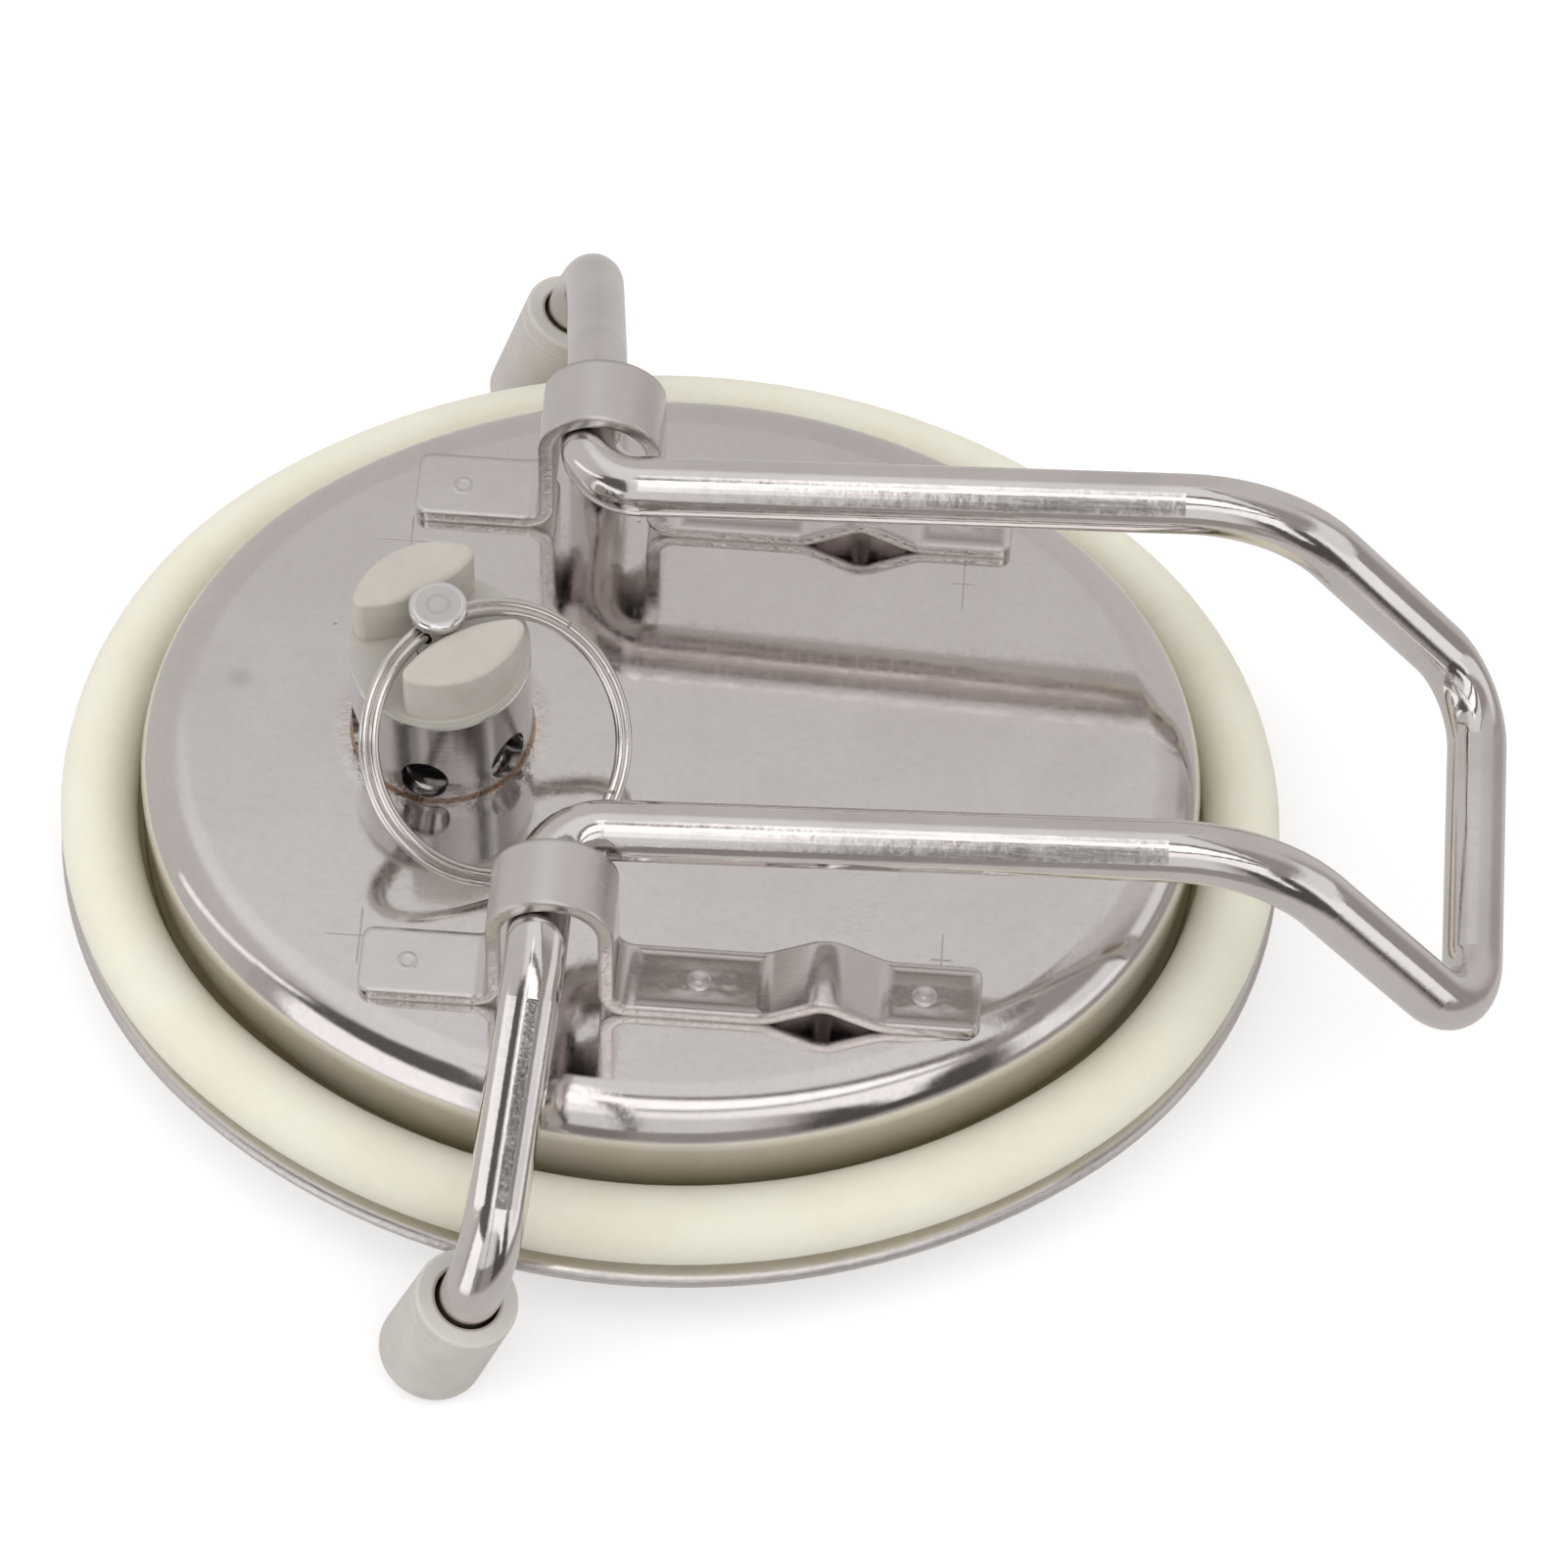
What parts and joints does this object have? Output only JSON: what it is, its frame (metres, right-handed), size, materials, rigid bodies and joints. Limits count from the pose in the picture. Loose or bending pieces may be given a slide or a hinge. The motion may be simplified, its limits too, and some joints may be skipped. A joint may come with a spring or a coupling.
{
  "type": "keg lid",
  "caption": "Oval stamped-steel keg lid with O-ring gasket, rubber-footed wire bail in welded brackets and a pull-ring pressure relief valve",
  "frame": {"origin": "centre of the oval, in the plane where the top of the gasket meets the inside of the keg mouth", "axes": "+X from the relief valve towards the grip of the bail, along the long side of the oval; +Y along the short side, away from the camera of the picture; +Z out of the keg, square to the seal plane"},
  "size_m": [0.1302, 0.1156, 0.0409],
  "materials": {
    "polished_steel": "polished",
    "bracket_steel": "satin",
    "wire_steel": "polished",
    "turned_steel": "fine turned",
    "gasket_rubber": "matte",
    "foot_rubber": "matte",
    "plug_plastic": "satin",
    "seal_rubber": "matte"
  },
  "bodies": {
    "lid": {"lid_shell": "polished_steel", "lid_gasket": "gasket_rubber", "bracket_near": "bracket_steel", "bracket_far": "bracket_steel", "valve_bung": "turned_steel", "valve_plug": "plug_plastic", "valve_spring": "wire_steel"},
    "bail": {"bail_wire": "wire_steel", "foot_near": "foot_rubber", "foot_far": "foot_rubber"},
    "stem": {"valve_stem": "turned_steel", "valve_poppet": "turned_steel", "poppet_seal": "seal_rubber"},
    "ring": {"pull_ring": "wire_steel"}
  },
  "joints": [
    {"name": "bail_pivot", "type": "hinge", "parent": "lid", "child": "bail", "pos_m": [-0.00915, 0, 0.0193], "axis": [0, -1, 0], "range_deg": [-12, 160]},
    {"name": "stem_lift", "type": "slide", "parent": "lid", "child": "stem", "axis": [0, 0, 1], "range_m": [0, 0.0022], "stiffness_N_per_m": 2000, "springref_m": -0.004, "deforming": ["valve_spring"]},
    {"name": "ring_swing", "type": "hinge", "parent": "stem", "child": "ring", "pos_m": [-0.0204, 0, 0.0229], "axis": [-0.7848, -0.6198, 0], "range_deg": [0, 15]}
  ]
}
